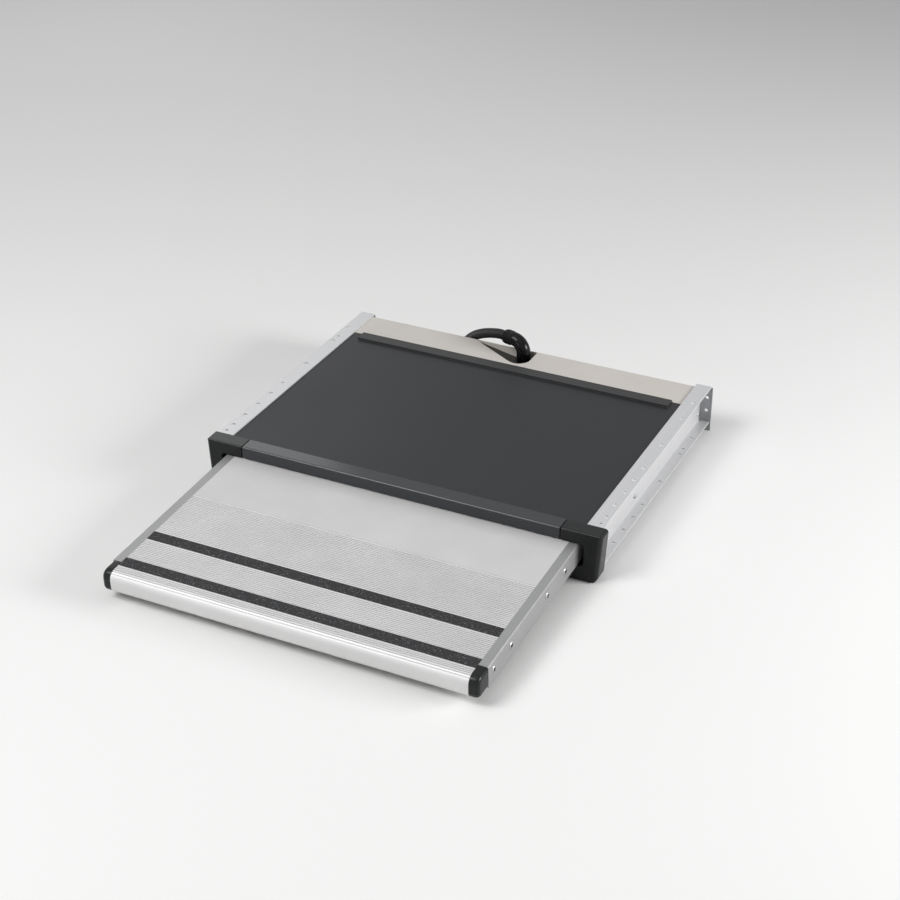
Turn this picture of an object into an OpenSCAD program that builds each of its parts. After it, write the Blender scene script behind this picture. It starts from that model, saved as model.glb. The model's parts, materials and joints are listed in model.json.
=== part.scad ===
// Powered slide-out entrance step: a flat case that bolts under a floor, and a tread that slides out of it.
// Millimetres. Z = 0 is the lowest edge of the case, X = 0 the middle, and the tread slides out towards -Y.

/* [Case] */
// Width over the outer edges of the side rails
rail_span = 600; // [560:1:700]
// Height of the corner caps and of the rear wall
case_h = 76; // [74:1:90]
// Depth from the front of the bezel to the rear ends of the rails
case_d = 466; // [450:1:560]
// Depth of the bezel and the corner caps
bezel_d = 24; // [20:0.5:28]
// Depth of the rear cover and the gap behind it
rear_cover_d = 68; // [66:1:76]
// How far the rear cover stops short of the rails' ends
cover_setback = 6; // [4:0.5:10]
// Thickness of the plates, the tray and the runners
sheet_t = 1.5; // [1:0.1:2]
// Thickness of the rear wall
wall_t = 2; // [1.5:0.1:3]
// Height of the tray's underside above the lowest edge
tray_lift = 1; // [0.5:0.1:3]
// How far the tray's side walls lap the side rails
tray_lap = 24; // [22:0.5:28]

/* [Side rails] */
// Height of a side rail
rail_h = 63; // [55:0.5:68]
// Width of the outer flanges, from the web
rail_flange = 16; // [14:0.5:24]
// Thickness of the flanges
rail_flange_t = 2; // [1.5:0.1:3]
// Thickness of the web
rail_web_t = 2.5; // [2:0.1:4]
// Width of the lips over the plates
rail_lip = 5; // [3:0.5:7]
// Diameter of the mounting holes
hole_d = 7; // [5:0.1:9]
// Diameter of the smaller holes
pilot_d = 5; // [3:0.1:6]
// Distance of the hole rows from the rails' outer edges
hole_inset = 8; // [6:0.5:10]
// Diameter of the holes in the wings of the rear wall
wing_hole_d = 5.5; // [4:0.1:7]

/* [Plates and bezel] */
// Distance of the raised strip's ends from the top plate's sides
strip_inset = 19.5; // [15:0.5:40]
// Depth of the raised strip
raised_strip_d = 20; // [10:0.5:24]
// Height of the raised strip
raised_strip_h = 3.5; // [1:0.1:4]
// Thickness of the bezel's front wall
bezel_t = 3; // [2:0.1:4]
// Width of the corner caps inside the rails' outer edges
cap_in = 52; // [48:0.5:56]
// Wall of the moulded caps
cap_t = 2.5; // [2:0.1:3]
// How far the caps stand out past the rails, at the top
cap_proud = 7.5; // [6.5:0.5:9]
// How far the caps' outer sides lean in towards the foot
cap_lean = 5; // [0:0.5:5]
// Radius of a cap's front outer edge
cap_front_r = 7; // [6:0.5:12]
// Radius of a cap's lower outer corner
cap_bottom_r = 12; // [6:0.5:14]
// Radius of a cap's upper outer corner
cap_top_r = 5; // [4:0.5:8]
// Width of the gap between a tread rail and the cap's opening
slot_side = 8; // [7:0.5:13]
// Radius of the opening's corners
slot_r = 5; // [3:0.5:7]

/* [Tread] */
// Room between the tread and the webs of the side rails
tread_side = 7.5; // [6:0.25:9]
// Height of the tread's side rails
tread_h = 31.7; // [30:0.1:34]
// Width of a tread side rail
tread_rail_w = 13.75; // [12:0.25:16]
// Wall of a tread side rail
tread_rail_t = 2; // [1.5:0.1:3]
// Bevel along the upper outer edge of a tread side rail
tread_bevel = 1.2; // [1:0.1:4]
// Depth of the tread's surface below the rails' tops, at the bezel
tread_drop = 19.5; // [18:0.1:22]
// Slope of the slide, in degrees, falling towards the nose
fall = 2.12; // [1:0.01:2.4]
// How far the nose stands out when the tread is in
nose_proud = 17; // [10:0.5:30]
// How far the tread reaches into the case when it is out
tread_tail = 98; // [90:1:110]
// Thickness of the tread panels
panel_t = 21; // [20:0.1:24]
// Depth of the ribbed panel, nose included
ribbed_d = 206; // [180:1:208]
// Spacing of the ribs
rib_pitch = 3.5; // [2.5:0.1:4]
// Width of the grooves between the ribs
groove_w = 1.6; // [1:0.1:2]
// Depth of the grooves
groove_h = 0.9; // [0.4:0.1:1]
// Width of a grip strip
grip_w = 19.2; // [15:0.1:22]
// Thickness of a grip strip
grip_t = 1.3; // [1:0.1:1.6]
// How far a grip strip stands proud
grip_proud = 0.3; // [0.1:0.1:0.4]
// Distance from the nose to the front grip strip
front_grip_gap = 21.5; // [21:0.5:23]
// Distance from the nose to the rear grip strip
rear_grip_gap = 88.6; // [70:0.1:110]
// Radius of the nose's upper edge
nose_top_r = 12; // [9:0.5:14]
// Radius of the nose's lower edge
nose_bottom_r = 9; // [6:0.5:12]
// Depth of the hollow nose
nose_d = 20; // [18:0.5:20]
// Length of a nose cap
nose_cap_l = 29; // [24:0.5:32]
// Diameter of the tread screws
tread_screw_d = 4; // [3:0.5:5]
// Depth of the tread screws below the tread's surface
tread_screw_drop = 13.6; // [13.2:0.1:17]

/* [Slide] */
// Thickness of the glide strips
glide_t = 3; // [2:0.1:5]
// Thickness of the upper guides
guide_t = 4; // [2:0.1:4.5]
// Depth of the upper guides' side legs
guide_leg = 7; // [4:0.5:7.5]
// Length of the upper guides
guide_l = 224; // [150:1:230]
// Length of the bump stops
stop_l = 8; // [6:0.5:9]

/* [Drive] */
// Place of the lead screw across the step
screw_x = 110; // [60:1:180]
// Diameter of the lead screw
screw_d = 10; // [8:0.5:12]
// Diameter of the lead screw's front journal
journal_d = 8; // [5:0.5:8]
// Depth kept free for the drive in front of the rear wall
drive_bay_d = 66; // [65:0.5:75]
// Width of the gearbox
gearbox_w = 52; // [44:1:60]
// Height of the gearbox
gearbox_h = 46; // [40:1:48]
// Depth of the gearbox
gearbox_d = 46; // [40:1:47]
// Diameter of the motor
motor_d = 40; // [30:1:42]
// Length of the motor
motor_l = 76; // [50:1:90]

/* [Conduit] */
// Outer diameter of the corrugated conduit
conduit_d = 16; // [14:0.5:17]
// Bore of the conduit and of its elbow
conduit_bore = 12; // [8:0.5:12.5]
// Spacing of the conduit's ribs
conduit_pitch = 3.2; // [2.6:0.1:6]
// Diameter of the elbow's tube
elbow_d = 22; // [19:0.5:23]
// Bend radius of the elbow
elbow_r = 19; // [14:0.5:20]
// Depth of the recess round the elbow
pocket_depth = 15; // [10:0.5:16]

/* [Clearances] */
// Gap between the tread and what guides it
slide_gap = 0.3; // [0.2:0.05:0.4]
// Gap above the tread at the bezel
bezel_gap = 0.7; // [0.6:0.05:1.2]
// Seam between the bezel and the caps
seam_gap = 1.5; // [0.5:0.1:3]
// Play of a plate between the rail's lip and the ledge
groove_gap = 0.1; // [0.05:0.05:0.3]
// Radial clearance of the lead screw in its bearings
run_gap = 0.05; // [0.02:0.01:0.1]
// Radial clearance of screws in their holes
hole_gap = 0.15; // [0.1:0.05:0.5]

/* [Hidden] */
$fn = 48;

// Half widths of the side rails, from the middle of the step
rail_x1 = rail_span / 2;
web_x1 = rail_x1 - rail_flange;
web_x0 = web_x1 - rail_web_t;
lip_x = web_x0 - rail_lip;
plate_edge_gap = 1;
plate_x = web_x0 - plate_edge_gap;
hole_x = rail_x1 - hole_inset;
bezel_x = rail_x1 - cap_in;

// Heights in the case
rail_z0 = case_h - rail_h;
plate_z1 = case_h - rail_flange_t;
plate_z0 = plate_z1 - sheet_t;
floor_z = tray_lift + sheet_t;
ledge_t = 2;
ledge_z1 = plate_z0 - groove_gap;

// Reach of the cuts that go right through a piece
drill_l = 20;
deep = 100;

// Rear wall, its angles and rivets, and the screws that hold the tray
wing_x = rail_x1 + 2;
wing_rows = [rail_z0 + 21, rail_z0 + 43];
bracket_l = 26;
bracket_w = 16;
bracket_z = [rail_z0 + 7, rail_z0 + 47];
rivet_d = 3.2;
rivet_inset = 6;
rivet_rows = [rail_z0 + 14, rail_z0 + 40];
tray_screw_y = 186;
tray_screw_z = rail_z0 + tray_lap - 5;
tray_screw_d = 3.5;

// Distances from the front of the bezel
cover_y0 = case_d - rear_cover_d;
cover_y1 = case_d - cover_setback;
wall_y1 = case_d + wall_t;
guide_y0 = bezel_d + 2;
mount_rows = [52, 85, 122, 159, 195, 267, 353, 406];
pilot_rows = [33, 371];

// Tread sizes along its own slope: s runs back from the bezel, n runs back from the nose
tread_x1 = web_x0 - tread_side;
tread_x0 = tread_x1 - tread_rail_w;
tread_z = case_h - tread_drop;
drive_s0 = case_d - drive_bay_d;
drive_clear = 4;
travel = drive_s0 - drive_clear - tread_tail;
reach = travel + nose_proud;
shoe_t = 8;
bar_t = 6;
rail_s1 = tread_tail - shoe_t;
bar_s0 = rail_s1 - bar_t;
screw_rows = [front_grip_gap + grip_w + 3.3, rear_grip_gap + 7.4, ribbed_d + 4, ribbed_d + 63];
recess_h = grip_t - grip_proud;

// The lead screw lies midway between the panels and the floor, where the nut hangs
floor_drop = (tread_z - floor_z) / cos(fall) + rail_s1 * tan(fall);
screw_drop = (panel_t + floor_drop) / 2;

// Drive: gearbox, motor, bearing block, nut and the crossbar that carries the nut
gearbox_s0 = drive_s0 + drive_clear;
gearbox_x1 = screw_x + gearbox_w / 2;
gearbox_top = gearbox_h / 2 - screw_drop;
boss_d = 28;
bore_depth = 28;
motor_s = gearbox_s0 + gearbox_d / 2;
block_s = [30, 44];
bush_d = 14;
nut_d = 20;
nut_bracket_t = shoe_t / 2;
bar_drop = screw_drop - nut_d / 2 - 1.5;

// Height of the opening in the bezel and the caps
slot_z1 = tread_z + bezel_gap + bezel_d * sin(fall);
slot_z0 = tread_z - tread_h - 1.5;
slot_x1 = tread_x1 + slot_side;

// Walls left round the screw ports of the panels
port_wall = 6;

// Runners below the tread's rails
runner_x0 = tread_x0 + 1.75;
runner_x1 = web_x0 - sheet_t;
glide_drop = tread_h + slide_gap;
runner_drop = glide_drop + glide_t;
stop_s0 = tread_tail + travel + slide_gap;
runner_s1 = stop_s0 + stop_l;

// The origin lies midway between the nose and the rear wall, to a tenth of a millimetre
nose_y = nose_top_r * sin(fall) - (reach - nose_top_r) * cos(fall) - nose_top_r;
origin_y = round(5 * (wall_y1 + nose_y)) / 10;

// Mouth of the elbow, and the conduit's middle line from there to the plug
outlet = [-36, cover_y1 - 7.2 - origin_y, plate_z1 + 21];
conduit_steps = [
    [0, 0, 0], [-8, 2, 0], [-16, 4, -1], [-30, 8, -5], [-43, 12, -10], [-55, 16, -16.3], [-66, 20, -24],
    [-76, 23.5, -33.5], [-86, 27, -44], [-96, 29.5, -54], [-107, 31, -63.5], [-120, 32, -72], [-135, 32, -79],
    [-152, 32, -84], [-171, 32, -86.4], [-192, 32, -86.8], [-210, 32, -86.8], [-226, 32, -86.8]
];
conduit_route = [for (p = conduit_steps) outlet + p];
spigot_d = 16;
spigot_l = 12;
elbow_run = 16;
elbow_dir = conduit_steps[1] / norm(conduit_steps[1]);
elbow_at = outlet - elbow_dir * (elbow_r + elbow_run);
elbow_turn = atan2(elbow_dir.y, elbow_dir.x);

// Recess in the rear cover: a ramp that runs down to the elbow
pocket_r = 21;
pocket_arc = [outlet.x + 32, cover_y1 - pocket_r - 9 - origin_y];
pocket_l = 91;
pocket_tip_x = pocket_arc.x - pocket_l;
pocket_flat_x = pocket_arc.x - 18;
pocket_z = plate_z1 - pocket_depth;

// Shared placing and shaping

module in_case() {
    translate([0, -origin_y, 0])
        children();
}

module in_slide() {
    in_case()
        translate([0, 0, tread_z])
            rotate([fall, 0, 0])
                children();
}

module on_side(side) {
    mirror([side < 0 ? 1 : 0, 0, 0])
        children();
}

// Extrudes an outline of Y and Z along X
module along_x(x0, x1) {
    translate([x0, 0, 0])
        rotate([90, 0, 90])
            linear_extrude(x1 - x0)
                children();
}

// Extrudes an outline of X and Z along Y
module along_y(y0, y1) {
    translate([0, y1, 0])
        rotate([90, 0, 0])
            linear_extrude(y1 - y0)
                children();
}

module along_z(z0, z1) {
    translate([0, 0, z0])
        linear_extrude(z1 - z0)
            children();
}

module block(x, y, z) {
    translate([x[0], y[0], z[0]])
        cube([x[1] - x[0], y[1] - y[0], z[1] - z[0]]);
}

module rod_x(x0, x1, d) {
    translate([x0, 0, 0])
        rotate([0, 90, 0])
            cylinder(h = x1 - x0, d = d);
}

module rod_y(y0, y1, d) {
    translate([0, y0, 0])
        rotate([-90, 0, 0])
            cylinder(h = y1 - y0, d = d);
}

// Rectangle with its own radius at each corner, counted round from the lower left
module rounded_square(w, h, radii) {
    corners = [[0, 0], [1, 0], [1, 1], [0, 1]];
    difference() {
        square([w, h]);
        for (i = [0:3])
            if (radii[i] > 0)
                corner_cut(w, h, corners[i], radii[i]);
    }
}

module corner_cut(w, h, corner, r) {
    difference() {
        translate([corner.x * (w - r + 1) - 1, corner.y * (h - r + 1) - 1])
            square(r + 1);
        translate([corner.x * (w - 2 * r) + r, corner.y * (h - 2 * r) + r])
            circle(r);
    }
}

// Case

module rail_section() {
    polygon([
        [lip_x, case_h], [rail_x1, case_h], [rail_x1, plate_z1], [web_x1, plate_z1],
        [web_x1, rail_z0 + rail_flange_t], [rail_x1, rail_z0 + rail_flange_t], [rail_x1, rail_z0],
        [web_x0, rail_z0], [web_x0, plate_z1], [lip_x, plate_z1]
    ]);
}

module rail_holes(rows, d) {
    for (y = rows)
        translate([hole_x, y, rail_z0 - 1])
            cylinder(h = rail_h + 2, d = d);
}

module side_rail(side) {
    color("gainsboro")
        on_side(side)
            in_case()
                difference() {
                    along_y(bezel_d, case_d)
                        rail_section();
                    rail_holes(mount_rows, hole_d);
                    rail_holes(pilot_rows, pilot_d);
                    tray_screw_at()
                        rod_x(-drill_l, drill_l, tray_screw_d + 2 * hole_gap);
                    wall_rivets_at()
                        rod_x(-drill_l, drill_l, rivet_d + 2 * hole_gap);
                }
}

module left_side_rail() {
    side_rail(-1);
}

module right_side_rail() {
    side_rail(1);
}

// Strip along the inside of a rail's web that carries the edges of the plates
module plate_ledge(side) {
    color("silver")
        on_side(side)
            in_case()
                block([lip_x, web_x0], [bezel_d, case_d - bracket_l - wall_t],
                      [ledge_z1 - ledge_t, ledge_z1]);
}

module left_plate_ledge() {
    plate_ledge(-1);
}

module right_plate_ledge() {
    plate_ledge(1);
}

module top_plate() {
    strip_x = plate_x - strip_inset;
    tongue_y = 8;
    color("dimgray")
        in_case() {
            block([-plate_x, plate_x], [bezel_d, cover_y0], [plate_z0, plate_z1]);
            block([-bezel_x + seam_gap, bezel_x - seam_gap], [tongue_y, bezel_d], [plate_z0, plate_z1]);
            block([-strip_x, strip_x], [cover_y0 - raised_strip_d, cover_y0],
                  [plate_z1, plate_z1 + raised_strip_h]);
        }
}

// Outline of the recess seen from above, drawn in by the sheet's thickness for its inside
function pocket_outline(inset) = concat(
    [[pocket_tip_x + 3.5 * inset, cover_y1 - origin_y - inset]],
    [for (a = [239:11:360]) pocket_arc + (pocket_r - inset) * [cos(a), sin(a)]],
    [[pocket_arc.x + pocket_r - inset, cover_y1 - origin_y - inset]]
);

// Solid under the recess's ramp and up to the sheet's top, lowered by a drop
module pocket_ramp(drop, top) {
    far_x = pocket_arc.x + pocket_r + 10;
    y0 = cover_y0 - origin_y;
    along_y(y0, y0 + rear_cover_d)
        polygon([
            [pocket_tip_x, plate_z1 - drop], [pocket_flat_x, pocket_z - drop], [far_x, pocket_z - drop],
            [far_x, top], [pocket_tip_x, top]
        ]);
}

module rear_cover() {
    flange_h = 24;
    flange_x = lip_x - 1;
    color("tan")
        difference() {
            union() {
                in_case() {
                    block([-plate_x, plate_x], [cover_y0, cover_y1], [plate_z0, plate_z1]);
                    block([-flange_x, flange_x], [cover_y1 - sheet_t, cover_y1],
                          [plate_z1 - flange_h, plate_z1]);
                }
                intersection() {
                    along_z(pocket_z - 2 * sheet_t, plate_z1)
                        polygon(pocket_outline(0));
                    pocket_ramp(sheet_t, plate_z1);
                }
            }
            intersection() {
                along_z(pocket_z - sheet_t, plate_z1 + 1)
                    polygon(pocket_outline(sheet_t));
                pocket_ramp(0, plate_z1 + 1);
            }
            translate([elbow_at.x, elbow_at.y, pocket_z - 2 * sheet_t])
                cylinder(h = 3 * sheet_t, d = spigot_d + 2 * hole_gap);
        }
}

module wall_rivets_at() {
    for (z = rivet_rows)
        translate([web_x1, case_d - rivet_inset, z])
            children();
}

module rear_wall() {
    wing_top = plate_z1 - 0.3;
    wall_top = plate_z1 - 10;
    color("silver")
        in_case()
            difference() {
                union() {
                    block([-wing_x, wing_x], [case_d, wall_y1], [0, wall_top]);
                    for (side = [-1, 1])
                        on_side(side)
                            block([lip_x, wing_x], [case_d, wall_y1], [0, wing_top]);
                }
                for (side = [-1, 1], z = wing_rows)
                    on_side(side)
                        translate([rail_x1 - 6, 0, z])
                            rod_y(case_d - 1, wall_y1 + 1, wing_hole_d);
            }
}

// Angles that tie the rear wall to the webs of the side rails
module wall_brackets() {
    color("lightslategray")
        in_case()
            for (side = [-1, 1])
                on_side(side)
                    difference() {
                        along_z(bracket_z[0], bracket_z[1])
                            polygon([
                                [web_x0, case_d - bracket_l], [web_x0, case_d], [web_x0 - bracket_w, case_d],
                                [web_x0 - bracket_w, case_d - wall_t], [web_x0 - wall_t, case_d - wall_t],
                                [web_x0 - wall_t, case_d - bracket_l]
                            ]);
                        wall_rivets_at()
                            rod_x(-drill_l, drill_l, rivet_d + 2 * hole_gap);
                    }
}

module wall_rivets() {
    head_h = 1.4;
    color("lightgray")
        in_case()
            for (side = [-1, 1])
                on_side(side)
                    wall_rivets_at() {
                        rod_x(0, head_h, 2 * rivet_d);
                        rod_x(-rail_web_t - wall_t - 1.5, head_h, rivet_d);
                    }
}

module tray_screw_at() {
    translate([web_x1, tray_screw_y, tray_screw_z])
        children();
}

module bottom_tray() {
    drain_w = 8;
    drain_l = 30;
    color("darkgray")
        in_case()
            difference() {
                union() {
                    block([-web_x0, web_x0], [bezel_d, case_d], [tray_lift, floor_z]);
                    block([-web_x0, web_x0], [bezel_d, bezel_d + sheet_t], [tray_lift, slot_z0 - 1]);
                    for (side = [-1, 1])
                        on_side(side)
                            block([web_x0 - sheet_t, web_x0], [bezel_d, case_d - bracket_l - 4],
                                  [tray_lift, rail_z0 + tray_lap]);
                }
                for (k = [-3, -1, 1, 3])
                    translate([k * web_x0 / 5, bezel_d + 20, tray_lift - 1]) {
                        for (end = [-1, 1])
                            translate([end * (drain_l - drain_w) / 2, 0, 0])
                                cylinder(h = sheet_t + 2, d = drain_w);
                        translate([-(drain_l - drain_w) / 2, -drain_w / 2, 0])
                            cube([drain_l - drain_w, drain_w, sheet_t + 2]);
                    }
                for (side = [-1, 1])
                    on_side(side)
                        tray_screw_at()
                            rod_x(-drill_l, drill_l, tray_screw_d + 2 * hole_gap);
            }
}

module tray_screws() {
    head_h = 2.2;
    color("lightgray")
        in_case()
            for (side = [-1, 1])
                on_side(side)
                    tray_screw_at() {
                        rod_x(0, head_h, 2 * tray_screw_d);
                        rod_x(-rail_web_t - sheet_t, head_h, tray_screw_d);
                    }
}

module front_bezel() {
    edge_r = 2.5;
    return_d = 8;
    length_x = bezel_x - seam_gap;
    color("darkslategray")
        in_case()
            along_x(-length_x, length_x)
                difference() {
                    translate([0, slot_z1])
                        rounded_square(bezel_d, case_h - slot_z1, [1, 0, 0.5, edge_r]);
                    translate([bezel_t, slot_z1 + sheet_t])
                        square([bezel_d, plate_z1 - slot_z1 - sheet_t]);
                    translate([return_d, slot_z1 - 1])
                        square([bezel_d, sheet_t + 2]);
                }
}

// Front view of a cap's body and of its opening, both drawn in or out by an inset
cap_x1 = rail_x1 + cap_proud;
cap_angle = atan(cap_lean / case_h);
cap_top_at = [cap_x1 - cap_top_r * (1 + sin(cap_angle)) / cos(cap_angle), case_h - cap_top_r];
cap_foot_at = [
    cap_x1 - (cap_bottom_r + (case_h - cap_bottom_r) * sin(cap_angle)) / cos(cap_angle),
    cap_bottom_r
];

module cap_front(inset) {
    polygon(concat(
        arc(cap_top_at, cap_top_r - inset, 90, -cap_angle),
        arc(cap_foot_at, cap_bottom_r - inset, -cap_angle, -90),
        [[bezel_x + inset, inset], [bezel_x + inset, case_h - inset]]
    ));
}

module cap_opening(outset) {
    translate([bezel_x - 1, slot_z0 - outset])
        rounded_square(slot_x1 - bezel_x + 1 + outset, slot_z1 - slot_z0 + 2 * outset,
                       [0, slot_r + outset, slot_r + outset, 0]);
}

// Plan of a cap, tilted to follow its leaning side
module cap_plan(inset) {
    w = 2 * cap_in;
    translate([cap_x1, 0, case_h])
        rotate([0, cap_angle, 0])
            along_z(-2 * case_h, case_h)
                translate([-w - inset, inset])
                    rounded_square(w, bezel_d + 2, [0, cap_front_r - inset, 0, 0]);
}

module corner_cap(side) {
    edge_r = 2.5;
    color("black")
        on_side(side)
            in_case()
                difference() {
                    intersection() {
                        along_y(0, bezel_d)
                            difference() {
                                cap_front(0);
                                cap_opening(0);
                            }
                        cap_plan(0);
                        along_x(bezel_x - 1, cap_x1 + 1)
                            rounded_square(bezel_d + 2, case_h, [edge_r, 0, 0, edge_r]);
                    }
                    intersection() {
                        along_y(cap_t, bezel_d + 1)
                            difference() {
                                cap_front(cap_t);
                                cap_opening(cap_t);
                            }
                        cap_plan(cap_t);
                    }
                }
}

module left_corner_cap() {
    corner_cap(-1);
}

module right_corner_cap() {
    corner_cap(1);
}

// Slide

// A bent angle that stands on the tray, with a sloping top and an upturned end for the bump stop
module lower_runner(side) {
    color("lightslategray")
        on_side(side)
            difference() {
                in_slide() {
                    block([runner_x0, runner_x1], [guide_y0, runner_s1],
                          [-runner_drop - sheet_t, -runner_drop]);
                    block([runner_x1 - sheet_t, runner_x1], [guide_y0, runner_s1],
                          [-runner_drop - deep, -runner_drop]);
                    block([runner_x0, runner_x1], [runner_s1, runner_s1 + sheet_t],
                          [-runner_drop - sheet_t, -tread_h / 4]);
                }
                in_case()
                    block([0, rail_x1], [0, case_d], [floor_z - 2 * deep, floor_z]);
            }
}

module left_lower_runner() {
    lower_runner(-1);
}

module right_lower_runner() {
    lower_runner(1);
}

module glide_strip(side) {
    color("ivory")
        on_side(side)
            in_slide()
                block([runner_x0, tread_x1], [guide_y0, runner_s1], [-runner_drop, -glide_drop]);
}

module left_glide_strip() {
    glide_strip(-1);
}

module right_glide_strip() {
    glide_strip(1);
}

module upper_guide(side) {
    color("ivory")
        on_side(side)
            in_slide()
                along_y(guide_y0, guide_y0 + guide_l)
                    polygon([
                        [runner_x0, slide_gap], [tread_x1 + slide_gap, slide_gap],
                        [tread_x1 + slide_gap, -guide_leg], [web_x0, -guide_leg],
                        [web_x0, slide_gap + guide_t], [runner_x0, slide_gap + guide_t]
                    ]);
}

module left_upper_guide() {
    upper_guide(-1);
}

module right_upper_guide() {
    upper_guide(1);
}

module bump_stops() {
    color("darkslategray")
        for (side = [-1, 1])
            on_side(side)
                in_slide()
                    translate([tread_x1 - tread_rail_w / 2, 0, -tread_h / 2])
                        rod_y(stop_s0, runner_s1, tread_rail_w - 3);
}

// Drive

module gearbox_housing() {
    color("silver")
        in_slide()
            difference() {
                union() {
                    along_y(gearbox_s0, gearbox_s0 + gearbox_d)
                        translate([screw_x - gearbox_w / 2, gearbox_top - gearbox_h])
                            rounded_square(gearbox_w, gearbox_h, [4, 4, 8, 8]);
                    translate([screw_x, 0, -screw_drop])
                        rod_y(drive_s0, gearbox_s0, boss_d);
                }
                translate([screw_x, 0, -screw_drop])
                    rod_y(drive_s0 - 1, drive_s0 + bore_depth, screw_d + 2 * run_gap);
            }
}

module gearbox_cover() {
    cover_t = 3;
    color("gray")
        in_slide()
            along_y(gearbox_s0 + gearbox_d, gearbox_s0 + gearbox_d + cover_t)
                translate([screw_x - gearbox_w / 2, gearbox_top - gearbox_h])
                    rounded_square(gearbox_w, gearbox_h, [4, 4, 8, 8]);
}

module drive_motor() {
    color("dimgray")
        in_slide()
            translate([0, motor_s, -screw_drop])
                rod_x(gearbox_x1, gearbox_x1 + motor_l, motor_d);
}

module motor_end_cap() {
    cap_l = 12;
    color("black")
        in_slide()
            translate([0, motor_s, -screw_drop]) {
                rod_x(gearbox_x1 + motor_l, gearbox_x1 + motor_l + cap_l, motor_d - 3);
                rod_x(gearbox_x1 + motor_l + cap_l, gearbox_x1 + motor_l + cap_l + 5, motor_d / 3);
            }
}

module drive_mount() {
    foot = 10;
    foot_t = sheet_t;
    color("slategray")
        difference() {
            union() {
                in_slide()
                    block([screw_x - gearbox_w / 2, gearbox_x1], [gearbox_s0, gearbox_s0 + gearbox_d],
                          [gearbox_top - gearbox_h - deep / 2, gearbox_top - gearbox_h]);
                in_case()
                    block([screw_x - gearbox_w / 2 - foot, gearbox_x1 + foot],
                          [gearbox_s0, gearbox_s0 + gearbox_d], [floor_z, floor_z + foot_t]);
            }
            in_case()
                block([0, rail_x1], [0, case_d + drill_l], [floor_z - deep, floor_z]);
        }
}

module screw_bearing_block() {
    half_w = 18;
    panel_gap = 3;
    color("silver")
        difference() {
            in_slide()
                difference() {
                    block([screw_x - half_w, screw_x + half_w], block_s,
                          [-screw_drop - deep / 2, -panel_t - panel_gap]);
                    translate([screw_x, 0, -screw_drop])
                        rod_y(block_s[0] - 1, block_s[1] + 1, bush_d);
                }
            in_case()
                block([0, rail_x1], [0, case_d], [floor_z - deep, floor_z]);
        }
}

module screw_bush() {
    color("peru")
        in_slide()
            translate([screw_x, 0, -screw_drop])
                difference() {
                    rod_y(block_s[0], block_s[1], bush_d - 2 * run_gap);
                    rod_y(block_s[0] - 1, block_s[1] + 1, journal_d + 2 * run_gap);
                }
}

module lead_screw() {
    end_gap = 2;
    color("lightsteelblue")
        in_slide()
            translate([screw_x, 0, -screw_drop]) {
                rod_y(block_s[0] - end_gap, block_s[1] + slide_gap, journal_d);
                rod_y(block_s[1] + slide_gap, drive_s0 + bore_depth - end_gap, screw_d);
            }
}

// Conduit

module elbow_frame() {
    translate([elbow_at.x, elbow_at.y, 0])
        rotate([0, 0, elbow_turn])
            children();
}

// Upright tube, quarter bend and level run, all of one diameter
module elbow_path(z0, d) {
    bend_z = elbow_at.z - elbow_r;
    translate([0, 0, z0])
        cylinder(h = bend_z - z0, d = d);
    translate([elbow_r, 0, bend_z])
        rotate([90, 0, 0])
            rotate([0, 0, 90])
                rotate_extrude(angle = 90)
                    translate([elbow_r, 0])
                        circle(d = d);
    translate([0, 0, elbow_at.z])
        rod_x(elbow_r, elbow_r + elbow_run, d);
}

module conduit_elbow() {
    flange_d = elbow_d + 5;
    flange_t = 3;
    collar_d = conduit_d + 6;
    ring_w = 3;
    color("black")
        elbow_frame()
            difference() {
                union() {
                    translate([0, 0, pocket_z - spigot_l])
                        cylinder(h = spigot_l + 1, d = spigot_d);
                    translate([0, 0, pocket_z])
                        cylinder(h = flange_t, d = flange_d);
                    elbow_path(pocket_z, elbow_d);
                    translate([0, 0, elbow_at.z]) {
                        rod_x(elbow_r + 2, elbow_r + elbow_run, collar_d);
                        for (x = [4, 10])
                            rod_x(elbow_r + x, elbow_r + x + ring_w, collar_d + 1.5);
                    }
                }
                elbow_path(pocket_z - spigot_l - 1, conduit_bore);
                translate([0, 0, elbow_at.z])
                    rod_x(elbow_r + elbow_run - 1, elbow_r + elbow_run + 1, conduit_bore);
            }
}

module elbow_locknut() {
    nut_h = 6;
    color("black")
        elbow_frame()
            translate([0, 0, pocket_z - sheet_t - nut_h])
                difference() {
                    cylinder(h = nut_h, d = spigot_d + 10, $fn = 6);
                    translate([0, 0, -1])
                        cylinder(h = nut_h + 2, d = spigot_d + 2 * hole_gap);
                }
}

// Smooth curve through the route's points, measured along its length
last_knot = len(conduit_route) - 1;
function knot(i) =
    i < 0 ? 2 * conduit_route[0] - conduit_route[1] :
    i > last_knot ? 2 * conduit_route[last_knot] - conduit_route[last_knot - 1] :
    conduit_route[i];
function span_point(a, b, c, d, t) =
    0.5 * (2 * b + (c - a) * t + (2 * a - 5 * b + 4 * c - d) * t * t + (3 * b - a - 3 * c + d) * t * t * t);
span_steps = 10;
curve = [
    for (i = [0:last_knot - 1], k = [0:span_steps - 1])
        span_point(knot(i - 1), knot(i), knot(i + 1), knot(i + 2), k / span_steps),
    conduit_route[last_knot]
];
last_point = len(curve) - 1;
function hop(i) = norm(curve[min(i + 1, last_point)] - curve[i]);
curve_run = [for (i = 0, l = 0; i <= last_point; l = l + hop(i), i = i + 1) l];
curve_tables = [for (axis = [0:2]) [for (i = [0:last_point]) [curve_run[i], curve[i][axis]]]];
conduit_l = curve_run[last_point];
function curve_at(l) = [for (axis = [0:2]) lookup(l, curve_tables[axis])];

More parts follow.
